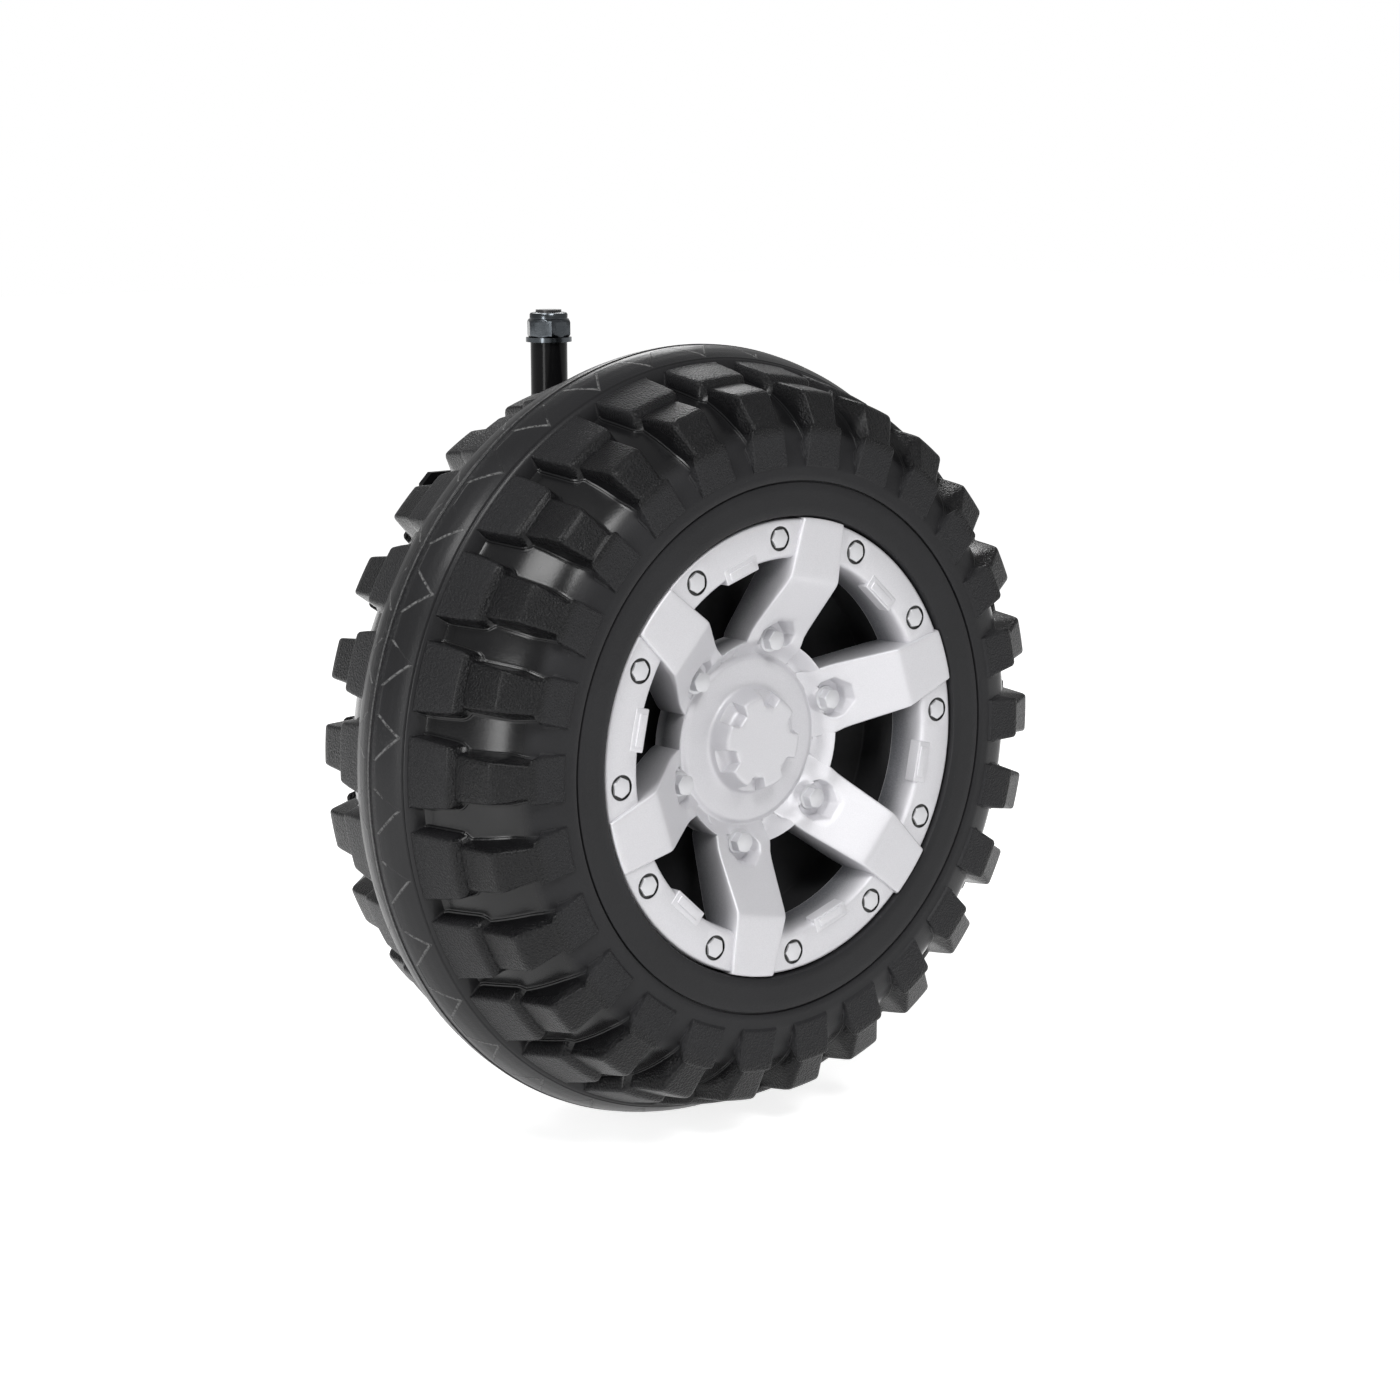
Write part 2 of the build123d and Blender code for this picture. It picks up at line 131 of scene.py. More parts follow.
def material(name):
    # a material and its Principled shader
    made = bpy.data.materials.new(name)
    made.use_nodes = True
    Wire.tree = made.node_tree
    shader = made.node_tree.nodes["Principled BSDF"]
    return made, shader


def fill(shader, **inputs):
    # underscores in the names of the inputs stand for spaces
    for key, value in inputs.items():
        Wire.feed(shader.inputs[key.replace("_", " ")], value)


# Meshes from arrays

def wheelPoint(clock, radius, z):
    # x = r sin(clock), y = cap plane - z, height = axle + r cos(clock)
    turn, radius, z = np.broadcast_arrays(np.radians(clock), radius, z)
    return np.stack([radius * np.sin(turn), capPlaneY - z, axleZ + radius * np.cos(turn)], -1)


def gridFaces(rows, columns, closed):
    # corner numbers of the quads of a grid of points, wrapped round its columns if closed
    r = np.arange(rows - 1)[:, None] * columns
    c = np.arange(columns if closed else columns - 1)[None, :]
    d = (c + 1) % columns
    return np.stack([r + c, r + d, r + columns + d, r + columns + c], -1).reshape(-1, 4)


def makeMesh(name, points, faces):
    mesh = bpy.data.meshes.new(name)
    points = np.asarray(points, float).reshape(-1, 3) * mm
    mesh.from_pydata(points, [], faces.tolist())
    mesh.polygons.foreach_set("use_smooth", np.ones(len(mesh.polygons), bool))
    mesh.update()
    return mesh


def addPiece(name, mesh, slotName, node, body="wheel"):
    # a piece in its finish, riding on a body in place of a CAD node
    piece = bpy.data.objects.new(name, mesh)
    bpy.context.scene.collection.objects.link(piece)
    mesh.materials.append(finishes[slotName])
    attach(piece, body)
    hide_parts(node)


def faceOutward(mesh, sharp=38.0):
    # merges doubled points, turns every face outward and keeps edges above that many degrees crisp
    work = bmesh.new()
    work.from_mesh(mesh)
    bmesh.ops.remove_doubles(work, verts=work.verts, dist=1e-6)
    bmesh.ops.recalc_face_normals(work, faces=work.faces)
    work.to_mesh(mesh)
    work.free()
    mesh.set_sharp_from_angle(angle=np.radians(sharp))
    mesh.update()


# Finishes

# The band has a strip each side of the seam, with a row of teeth along its edge: how many, the clock of the first
# tip, the shares of a pitch where a tooth's edge ends its fall and starts its climb, and millimetres from the seam.
tyreLook = {
    "teeth": 35, "firstTip": 83.4, "fall": 0.28, "climb": 0.66, "stripEdge": 4.8, "toothReach": 12.6,
    "bandEdge": 17.6, "shoulderStart": 21.0, "shoulderEnd": 43.0, "sidewallR": 157.0, "lugDullness": 0.58,
    "glossy": ((0.0045, 0.0045, 0.0050, 1), (0.0075, 0.0075, 0.0082, 1)),
    "dull": ((0.017, 0.017, 0.0182, 1), (0.027, 0.027, 0.0288, 1)),
    "scuffed": (0.20, 0.20, 0.20, 1), "specular": 0.17, "coatRoughness": 0.2,
}


def blackPlastic():
    # Leather grain on the lugs, smoother grooves, and the band's teeth with scuffed edges. Along counts teeth round
    # the wheel, across is millimetres from the seam, and up is metres above the axle.
    look = tyreLook
    made, shader = material("moulded_black_plastic")
    where = Wire.node("ShaderNodeSeparateXYZ", None, Vector=objectPlace())
    x, y, z = (Wire(out) for out in where.outputs)
    up = z - axleZ * mm
    turn = Wire.maths("ARCTAN2", x, up) * radian
    along = (turn + look["firstTip"]) * (look["teeth"] / 360) + look["teeth"]
    across = abs(y - (capPlaneY - midZ) * mm) * (1 / mm)
    share = along.part()
    # across a tooth's pitch its edge drops from the tip to the strip, runs along it, and climbs to the next tip
    falling = 1 - (share / look["fall"]).least(1.0)
    climbing = ((share - look["climb"]) / (1 - look["climb"])).most(0.0)
    line = look["stripEdge"] + (falling + climbing) * look["toothReach"]
    off = across - line
    onBand = 1 - across.ramp(look["bandEdge"], look["bandEdge"] + 0.6)
    raised = (1 - off.ramp(-0.35, 0.35)) * onBand
    near = (1 - abs(off).ramp(0.25, 0.8)) * onBand
    rough = noise(700.0, 4.0, 0.7)
    patch = noise(46.0, 3.0)
    tooth = share.more(look["climb"]) + share.less(look["fall"]) * patch.more(0.5)
    scuff = (1 - abs(off + 0.5).ramp(0.4, 1.3)) * tooth * onBand * rough.ramp(0.36, 0.56)
    strip = (1 - across.ramp(look["stripEdge"] - 0.4, look["stripEdge"] + 0.1)) * rough.ramp(0.45, 0.65)
    flash = 1 - across.ramp(0.3, 0.9)
    seam = 1 - abs(across - 1.5).ramp(0.1, 0.6)
    top = attribute("top")
    wear = noise(24.0, 4.0)
    leather = cells(850.0) * 0.7 + cells(1900.0) * 0.3
    grain = leather * (0.06 + top * 0.8) + rough * 0.10
    specks = noise(330.0, 2.0).ramp(0.70, 0.76) * patch.ramp(0.5, 0.7)
    scratched = noise(90.0, 5.0, 0.75).ramp(0.56, 0.70) * patch.ramp(0.45, 0.62)
    # the sidewall, the band and the crown lugs' tops are dull; the side lugs and the grooves are glossy
    radius = Wire.maths("SQRT", x * x + up * up) * (1 / mm)
    crown = 1 - across.ramp(look["shoulderEnd"], look["shoulderEnd"] + 2.2)
    raisedCrown = crown * top.most(1 - across.ramp(look["shoulderStart"], look["shoulderStart"] + 2.0))
    dull = (raisedCrown * look["lugDullness"]).most(1 - radius.ramp(look["sidewallR"], look["sidewallR"] + 6.0))
    dark = mixColour(dull, mixColour(wear, *look["glossy"]), mixColour(wear, *look["dull"]))
    pale = scuff * 0.75 + flash * rough.ramp(0.3, 0.6) * 0.45 + strip * 0.08 + near * 0.05 + specks * 0.10
    wearAndShade = mixColour((pale + scratched * raised * 0.10).least(1.0), dark, look["scuffed"])
    level = grain * 0.0008 + raised * 0.0005 + flash * 0.0005 - seam * 0.0004 + scuff * 0.0003
    fill(shader, Base_Color=wearAndShade, Roughness=0.19 + top * 0.08 + dull * 0.20 + wear * 0.08 + scuff * 0.2,
         Coat_Weight=(1 - dull) * (0.35 - top * 0.25), Normal=bump(level))
    shader.inputs["Specular IOR Level"].default_value = look["specular"]
    shader.inputs["Coat Roughness"].default_value = look["coatRoughness"]
    return made


# the dark grey and the black here are painted shade: on the deeper walls, and in the bolt holes
paintLook = {
    "pale": ((0.66, 0.655, 0.68, 1), (0.77, 0.765, 0.79, 1)), "shadeGrey": (0.15, 0.155, 0.17, 1),
    "hole": (0.004, 0.004, 0.004, 1), "holeShadeFrom": 0.84, "roughness": 0.47, "metallic": 0.36,
}


def silverPaint():
    # Satin paint with fine flake. A point attribute carries painted shade: dark grey in speckles, up to 0.8, where
    # the walls go deeper, and from there on the black painted into the bolt holes as shade.
    look = paintLook
    made, shader = material("silver_paint")
    flake = noise(2600.0, 2.0)
    cloud = noise(18.0, 2.0)
    peel = noise(240.0, 2.0)
    # painted shade from the meshes: dark grey on the deeper walls, black in the bolt holes
    paintedShade = attribute("paintedShade")
    shadeGrey = (paintedShade * 1.25 + (noise(1300.0, 3.0, 0.7) - 0.5) * paintedShade.least(0.3) * 1.6).most(0.0).least(1.0)
    hole = paintedShade.ramp(look["holeShadeFrom"], look["holeShadeFrom"] + 0.12)
    paint = mixColour(flake.ramp(0.3, 0.7) * 0.5 + cloud * 0.3, *look["pale"])
    body = mixColour(shadeGrey, paint, look["shadeGrey"])
    fill(shader, Base_Color=mixColour(hole, body, look["hole"]),
         Roughness=look["roughness"] + cloud * 0.06 - shadeGrey * 0.1,
         Metallic=(look["metallic"] + shadeGrey * 0.25) * (1 - hole), Normal=bump(flake * 0.00002 + peel * 0.00005))
    return made


def plainFinish(name, dark, light, roughness, metallic=1.0, scale=120.0, uneven=0.12, shine=0.5):
    # one material, metal or plastic, with soft clouds of two close colours and a faint fine grain
    made, shader = material(name)
    cloud = noise(scale, 3.0)
    fine = noise(scale * 9, 2.0)
    fill(shader, Base_Color=mixColour(cloud, dark, light), Roughness=roughness + cloud * uneven, Metallic=metallic,
         Normal=bump(fine, 0.00004, 0.4))
    shader.inputs["Specular IOR Level"].default_value = shine
    return made


finishes = {
    "black_wheel_plastic": blackPlastic(),
    "silver_cap": silverPaint(),
    "silver_bolts": plainFinish("bolt_silver", (0.62, 0.62, 0.64, 1), (0.74, 0.74, 0.76, 1), 0.34, 0.4),
    "silver_nuts": plainFinish("nut_silver", (0.62, 0.62, 0.64, 1), (0.74, 0.74, 0.76, 1), 0.34, 0.4),
    "bush_plastic": plainFinish("bush_plastic", (0.018, 0.018, 0.019, 1), (0.03, 0.03, 0.031, 1), 0.42, 0.0),
    "rod_steel": plainFinish("rod_steel", (0.02, 0.02, 0.021, 1), (0.035, 0.035, 0.036, 1), 0.28, 0.3),
    "zinc": plainFinish("bright_zinc", (0.04, 0.047, 0.053, 1), (0.12, 0.13, 0.14, 1), 0.14),
    "black_steel": plainFinish("black_steel", (0.003, 0.003, 0.0034, 1), (0.006, 0.006, 0.0064, 1), 0.14, 0.0,
                               40.0, 0.04, 0.10),
    "gearbox_plastic": plainFinish("gearbox_plastic", (0.018, 0.018, 0.019, 1), (0.03, 0.03, 0.031, 1), 0.44, 0.0),
    "gearbox_cover_plastic": plainFinish("cover_plastic", (0.022, 0.022, 0.023, 1), (0.035, 0.035, 0.036, 1),
                                         0.48, 0.0),
    "screw_zinc": plainFinish("screw_zinc", (0.5, 0.5, 0.52, 1), (0.7, 0.7, 0.72, 1), 0.24),
    "grey_steel": plainFinish("grey_steel", (0.05, 0.05, 0.052, 1), (0.09, 0.09, 0.092, 1), 0.4, 0.4),
    "motor_can": plainFinish("motor_can", (0.45, 0.45, 0.46, 1), (0.6, 0.6, 0.61, 1), 0.35),
    "shroud_plastic": plainFinish("shroud_plastic", (0.015, 0.015, 0.016, 1), (0.026, 0.026, 0.027, 1), 0.4, 0.0),
}
print("finishes", len(finishes))


# Tyre

# One side's section, from the seam to the edge round the cap.
# columns: offset from the mid-plane and radius of the lug's top, the same for the groove, the degrees of the
# wheel that the lug's top spans, and how many rows lead here from the row before
tyreRows = np.array([
    (0.0, 201.0, 0.0, 201.0, 10.2, 0),
    (0.9, 201.0, 0.9, 201.0, 10.2, 1),
    (1.2, 200.6, 1.2, 200.6, 10.2, 1),
    (5.0, 200.3, 5.0, 200.3, 10.2, 2),
    (10.0, 199.0, 10.0, 199.0, 10.2, 3),
    (15.0, 196.9, 15.0, 196.9, 10.2, 3),
    (18.4, 194.9, 18.4, 194.9, 10.2, 2),
    (18.9, 193.5, 18.9, 193.5, 10.2, 1),
    (19.4, 194.2, 19.4, 194.2, 10.2, 1),
    (20.2, 193.6, 20.2, 193.6, 10.2, 1),
    (20.7, 192.3, 20.6, 192.4, 10.2, 1),
    (21.2, 192.8, 21.0, 191.6, 10.2, 1),
    (22.4, 192.5, 21.5, 188.0, 10.2, 1),
    (23.4, 192.2, 22.2, 184.8, 10.2, 1),
    (25.0, 191.8, 24.2, 183.6, 10.2, 1),
    (35.0, 189.8, 35.0, 181.2, 9.8, 4),
    (43.0, 188.0, 43.4, 178.6, 9.3, 4),
    (44.6, 187.3, 44.6, 178.1, 9.1, 1),
    (45.7, 186.1, 45.4, 177.8, 8.8, 1),
    (46.3, 184.6, 46.0, 177.5, 8.2, 1),
    (46.7, 184.0, 46.6, 177.2, 7.2, 1),
    (55.0, 182.9, 53.2, 173.9, 7.0, 4),
    (64.0, 181.7, 61.4, 169.0, 6.7, 4),
    (67.2, 181.0, 64.2, 166.8, 6.6, 1),
    (68.6, 180.2, 65.4, 165.8, 6.55, 1),
    (69.6, 179.0, 66.4, 164.9, 6.5, 1),
    (73.4, 171.4, 69.8, 160.6, 6.1, 4),
    (76.4, 165.4, 72.4, 156.4, 5.8, 4),
    (76.9, 164.4, 72.9, 155.6, 5.9, 1),
    (77.7, 163.9, 73.3, 155.0, 7.4, 1),
    (78.0, 163.1, 73.6, 154.4, 7.7, 1),
    (78.3, 154.0, 75.6, 149.4, 8.2, 4),
    (78.5, 145.0, 77.0, 144.2, 8.8, 4),
    (78.4, 144.0, 77.15, 143.4, 8.8, 1),
    (78.0, 143.2, 77.25, 142.6, 8.7, 1),
    (77.3, 142.6, 77.3, 142.0, 8.6, 1),
    (77.3, 141.4, 77.3, 141.4, 8.6, 1),
    (77.3, 136.2, 77.3, 136.2, 8.6, 2),
    (76.9, 135.6, 76.9, 135.6, 8.6, 1),
    (75.4, 135.4, 75.4, 135.4, 8.6, 1),
    (75.4, 134.7, 75.4, 134.7, 8.6, 1),
    (76.7, 134.4, 76.7, 134.4, 8.6, 1),
    (77.0, 133.6, 77.0, 133.6, 8.6, 1),
    (76.9, 126.0, 76.9, 126.0, 8.6, 2),
    (76.6, 119.2, 76.6, 119.2, 8.6, 2),
    (76.0, 117.9, 76.0, 117.9, 8.6, 1),
    (74.6, 117.2, 74.6, 117.2, 8.6, 1),
    (65.6, 117.0, 65.6, 117.0, 8.6, 1),
])
lug = {"count": 26, "phase": 8.8, "edge": 1.7, "draft": 0.16, "ledge": 0.7, "ledgeRise": 0.8, "foot": 0.5}
groove = {"topR": 184.5, "footR": 143.2, "rounds": 14}

# turns of the points round a rounded edge, and how many steps a lobe's top and its groove have
edgeArc = np.radians(np.linspace(0, 84, 5))
topSteps = 5
grooveSteps = 8
ledgeFrom = 4.0


def spread(table):
    # rows between the table's, evenly spaced along each step
    steps = table[1:, -1].astype(int)
    at = np.concatenate([[0.0]] + [k + np.arange(1, n + 1) / n for k, n in enumerate(steps)])
    return np.stack([np.interp(at, np.arange(len(table)), table[:, c]) for c in range(table.shape[1] - 1)], 1)


def lobed(rows, form):
    # Two sections, raised and sunk, carried round the axle in turn. Across one pitch, x is the distance from the
    # lobe's middle and k the share of the way up: k = 1 on top, sin and cos arcs over the edge, a drafted wall,
    # a ledge and an arc at the foot, k = 0 in the groove. A point is sunk + (raised - sunk) k, at clock x / radius.
    # Lobes under ledgeFrom high have no ledge.
    topV, topR, lowV, lowR, span = rows.T[:, :, None]
    width = np.radians(span) * lowR
    half = np.pi / form["count"] * np.maximum(lowR, 1e-3)
    rise = np.hypot(topV - lowV, topR - lowR)
    safe = np.maximum(rise, 1e-6)
    edge = np.minimum(form["edge"], rise / 2.5)
    foot = np.minimum(form["foot"], rise / 4)
    ledge = np.where(rise > ledgeFrom, form["ledge"], 0)
    step = np.where(rise > ledgeFrom, form["ledgeRise"], 0)
    over, down = np.sin(edgeArc)[None, :], 1 - np.cos(edgeArc)[None, :]
    top = width / 2 - edge
    wall = width / 2 + form["draft"] * rise
    xs = [top * np.linspace(0, 1, topSteps + 1)[None, 1:], top + edge * over[:, 1:], wall, wall + ledge]
    ks = [np.ones((len(rows), topSteps)), 1 - edge / safe * down[:, 1:], (step + foot / 2) / safe, step / safe]
    foothold = wall + ledge
    xs.append(foothold + foot * (1 - over[:, ::-2]))
    ks.append(np.minimum(step, foot) / safe * down[:, ::-2])
    start = foothold + foot
    xs.append(start + (half - start) * np.linspace(0, 1, grooveSteps + 1)[None, 1:])
    ks.append(np.zeros((len(rows), grooveSteps)))
    x = np.concatenate(xs, 1)
    k = np.concatenate(ks, 1)
    # mirrored about the lobe's middle, with the shared groove column left out on one side
    x = np.concatenate([-x[:, ::-1][:, 1:], 0 * x[:, :1], x], 1)
    k = np.concatenate([k[:, ::-1][:, 1:], k[:, :1], k], 1)
    v = np.tile(lowV + (topV - lowV) * k, (1, form["count"]))
    r = np.tile(lowR + (topR - lowR) * k, (1, form["count"]))
    turns = form["phase"] + 360 / form["count"] * np.arange(form["count"])
    clocks = np.degrees(x / half * np.pi / form["count"])[:, None, :] + turns[None, :, None]
    return clocks.reshape(len(rows), -1), r, v, np.tile(k * (rise > 1), (1, form["count"]))


def makeTyreSide(name, side):
    # One side of the tyre, from the seam in, as lobes: side is 1 outboard and -1 inboard. Each point of the groove's
    # curve is averaged with its neighbours, several times over, to round it off: (before + 2 point + after) / 4.
    rows = spread(tyreRows)
    inside = np.flatnonzero((rows[:, 3] < groove["topR"]) & (rows[:, 3] > groove["footR"]))[1:-1]
    for _ in range(groove["rounds"]):
        rows[inside, 2:4] = (rows[inside - 1, 2:4] + 2 * rows[inside, 2:4] + rows[inside + 1, 2:4]) / 4
    clocks, radii, offsets, k = lobed(rows, lug)
    mesh = makeMesh(name, wheelPoint(clocks, radii, midZ + side * offsets), gridFaces(*clocks.shape, True))
    mesh.attributes.new("top", "FLOAT", "POINT").data.foreach_set("value", k.ravel().astype(np.float32))
    faceOutward(mesh)
    return mesh


for name, side in (("tyre_outboard", 1), ("tyre_inboard", -1)):
    addPiece(name, makeTyreSide(name, side), "black_wheel_plastic", "tyre")
print("tyre")


# Dishes turned inside the wheel, as (radius, z)

dishes = {
    "outer_dish": [(117.1, -1.0), (117.0, -9.0), (101.5, -9.0), (101.0, -9.5), (100.5, -49.0), (99.5, -50.0),
                   (30.0, -50.0), (27.0, -49.0), (27.0, -43.5), (26.5, -43.0), (11.1, -43.0)],
    "inner_dish": [(11.1, -111.8), (77.0, -111.8), (78.0, -112.5), (78.0, -150.8), (79.0, -151.8),
                   (118.0, -151.8), (118.0, -150.0)],
}
dishSegments = 120

for name, profile in dishes.items():
    profile = np.array(profile)
    clocks = np.arange(dishSegments) * 360 / dishSegments
    points = wheelPoint(clocks[None, :], profile[:, :1], profile[:, 1:])
    mesh = makeMesh(name, points, gridFaces(len(profile), dishSegments, True))
    addPiece(name, mesh, "black_wheel_plastic", "tyre")
print("dishes")


# Cap: its ring, hub and six folded spokes, in silver

# boltCell is half the degrees of the ring's flat that a bolt's hole takes up; the soft values round the folds
cap = {
    "spokes": 6, "phase": 12.4, "boltTurn": 14.51, "boltCell": 4.3, "boltR": 106.5, "boltHole": 6.25,
    "padRaise": 2.0, "kinkR": 85.0, "rootR": 54.35, "rootDepth": 20.8, "kinkSoft": 1.2, "rootSoft": 6.0,
    "nutR": 52.0, "pocketR": 11.5, "pocketDepth": 26.0, "seatR": 7.6, "edge": 1.2,
}
# the ring's section inside and outside its flat, as (radius, z)
ringInner = [(93.9, -21.2), (93.9, -20.8), (94.1, -19.0), (94.6, -14.0), (95.1, -9.0), (95.7, -4.0), (96.0, -2.4),
             (96.5, -1.2), (97.2, -0.4), (98.2, 0)]
ringOuter = [(114.2, 0), (115.1, -0.25), (115.7, -0.9), (116.0, -2.0), (116.0, -8.9), (99.0, -9.0), (98.4, -20.0),
             (97.8, -21.2), (93.9, -21.2)]
spokeClocks = cap["phase"] + 60 * np.arange(cap["spokes"])
boltClocks = np.concatenate([spokeClocks - cap["boltTurn"], spokeClocks + cap["boltTurn"]])


def sectorClocks(spans):
    # clocks round the wheel from one spoke's share of it, as (from, to, steps) in degrees from the spoke
    one = np.concatenate([np.linspace(a, b, n, endpoint=False) for a, b, n in spans])
    return (cap["phase"] + one[None, :] + 60 * np.arange(cap["spokes"])[:, None]).ravel()


def joinGrids(name, grids):
    # one mesh from several grids of points, each with whether it closes and a value of painted shade
    points, faces, paintedShade, start = [], [], [], 0
    for grid, closed, value in grids:
        rows, columns = grid.shape[:2]
        points.append(grid.reshape(-1, 3))
        faces.append(gridFaces(rows, columns, closed) + start)
        paintedShade.append(np.broadcast_to(value, (rows, columns)).ravel())
        start += rows * columns
    mesh = makeMesh(name, np.concatenate(points), np.concatenate(faces))
    made = mesh.attributes.new("paintedShade", "FLOAT", "POINT")
    made.data.foreach_set("value", np.concatenate(paintedShade).astype(np.float32))
    faceOutward(mesh)
    return mesh


def eased(share):
    # 0 to 1 with level ends: s s (3 - 2 s), where s is the share held between 0 and 1
    share = np.clip(share, 0, 1)
    return share * share * (3 - 2 * share)


def lower(a, b, soft):
    # the lower of two heights, rounded where they cross: (a + b - sqrt((a - b) (a - b) + soft)) / 2
    return 0.5 * (a + b - np.sqrt((a - b) ** 2 + soft))


def upper(a, b, soft):
    # the higher of two heights, rounded in the same way
    return 0.5 * (a + b + np.sqrt((a - b) ** 2 + soft))


def wearAndShade(z, back):
    # painted shade by depth: none at the front, up to 0.72, and none on the edge at the back
    return np.clip((-z - 3.0) / 18.0, 0, 0.72) * (z > back)


def makeRing():
    # The section's inner and outer edges turned round the axle. The flat between them is a band of cells, where a
    # bolt's cell is drawn from its rim, by straight rays, to the circle of its hole, and on down to the hole's floor.
    t, c = cap["boltTurn"], cap["boltCell"]
    clocks = sectorClocks([(-30, -t - c, 8), (-t - c, -t + c, 8), (-t + c, t - c, 12), (t - c, t + c, 8),
                           (t + c, 30, 8)])
    inner, outer = np.array(ringInner), np.array(ringOuter)
    low, high, back = inner[-1, 0], outer[0, 0], inner[0, 1]
    # the ring's sections get painted shade that grows with depth
    grids = [(wheelPoint(clocks[None, :], p[:, :1], p[:, 1:]), True, wearAndShade(p[:, 1:], back)) for p in (inner, outer)]
    middle = (low + high) / 2
    for base in spokeClocks:
        for a, b, n in ((-t + c, t - c, 12), (t + c, 60 - t - c, 16)):
            radii = np.array([low, middle, high])[:, None]
            grids.append((wheelPoint(base + np.linspace(a, b, n + 1)[None, :], radii, 0.0), False, 0.0))
        for side in (-t, t):
            around = np.linspace(-c, c, 9)
            radial = np.linspace(low, high, 9)
            # the cell's rim, as (turn, radius), once round
            rim = np.concatenate([
                np.stack([around[:-1], np.full(8, high)], 1), np.stack([np.full(8, c), radial[::-1][:-1]], 1),
                np.stack([around[::-1][:-1], np.full(8, low)], 1), np.stack([np.full(8, -c), radial[:-1]], 1)])
            x = rim[:, 1] * np.sin(np.radians(rim[:, 0]))
            y = rim[:, 1] * np.cos(np.radians(rim[:, 0])) - cap["boltR"]
            far = np.hypot(x, y)
            size = cap["boltHole"]
            # the hole's wall and floor are painted black as shade, and its rim a little darker
            rings = [(None, 0, 0), (size + 0.5, 0, 0), (size + 0.12, -0.06, 0.2), (size, -0.2, 1), (size, -0.9, 1),
                     (0.01, -0.9, 1)]
            rows, paintedShade = [], []
            for radius, z, value in rings:
                share = np.ones_like(far) if radius is None else radius / far
                px, py = x * share, y * share + cap["boltR"]
                rows.append(wheelPoint(base + side + np.degrees(np.arctan2(px, py)), np.hypot(px, py), z))
                paintedShade.append(value)
            grids.append((np.array(rows), True, np.array(paintedShade, float)[:, None]))
    return joinGrids("cap_ring", grids)


def spokeHalf(a):
    # half of a spoke's width at a distance along it, without its rounded edge
    return np.interp(a, [38, 46, 85, 116.6], [18.75, 18.75, 16.5, 14.0]) - cap["edge"]


def coneHeight(r):
    # the hub's dished rim: a valley round the disc, and a slope from there up to the rim
    return np.interp(r, [38, 44.6, 45.3, 48.5, 51.5, 52.2, 92.2], [-33.7, -30.4, -29.9, -26.1, -22.1, -21.2, 29.0])


def spokeHeight(a, x):
    # The folded plate at a distance along and across: level at the root, (a - root) climb / run up to the kink and
    # level on the pad, with both folds rounded, and held under the hub's dished rim.
    climb, run = cap["padRaise"] + cap["rootDepth"], cap["kinkR"] - cap["rootR"]
    slope = (a - cap["rootR"]) * climb / run - cap["rootDepth"]
    plate = upper(lower(slope, cap["padRaise"], cap["kinkSoft"]), -cap["rootDepth"], cap["rootSoft"])
    return lower(plate, coneHeight(np.hypot(a, x)), 0.3)


def spokePoint(clock, a, x, z):
    # a place on a spoke, from its distance along, its distance across and its height
    return wheelPoint(clock + np.degrees(np.arctan2(x, a)), np.hypot(x, a), z)


def bowed(a, x):
    # past the kink the rows across a spoke bow into circles about the axle: a goes to sqrt(a a - x x)
    return a + (np.sqrt(np.maximum(a * a - x * x, 1)) - a) * eased((a - 86) / 12)


# how far the fan of rays round a spoke's nut reaches outward and inward, the rows along a spoke from there on, how
# far each drops over the spoke's outer end, and the depth of the windows' walls by distance from the axle
fan = {"out": 18, "in": 14}
spokeRows = np.array([70, 73, 76, 79, 81, 82.5, 83.7, 84.6, 85.4, 86.3, 87.6, 90, 94, 98, 103, 108, 113, 115.2, 116.1,
                      116.5, 116.6, 116.6, 116.6])
endDrop = np.array([0] * 18 + [0.25, 0.7, 1.5, 4.0, 10.9])
wallDepths = ([38, 53.0, 95, 97, 116.6], [40.0, 40.0, 21.2, 8.9, 8.9])
# the pocket's rows inside its lip, as how far in and how far above the floor
pocketRows = ((-0.9, 0.7), (-1.3, 0.15), (-2.2, 0.0), (-4.5, 0.0))


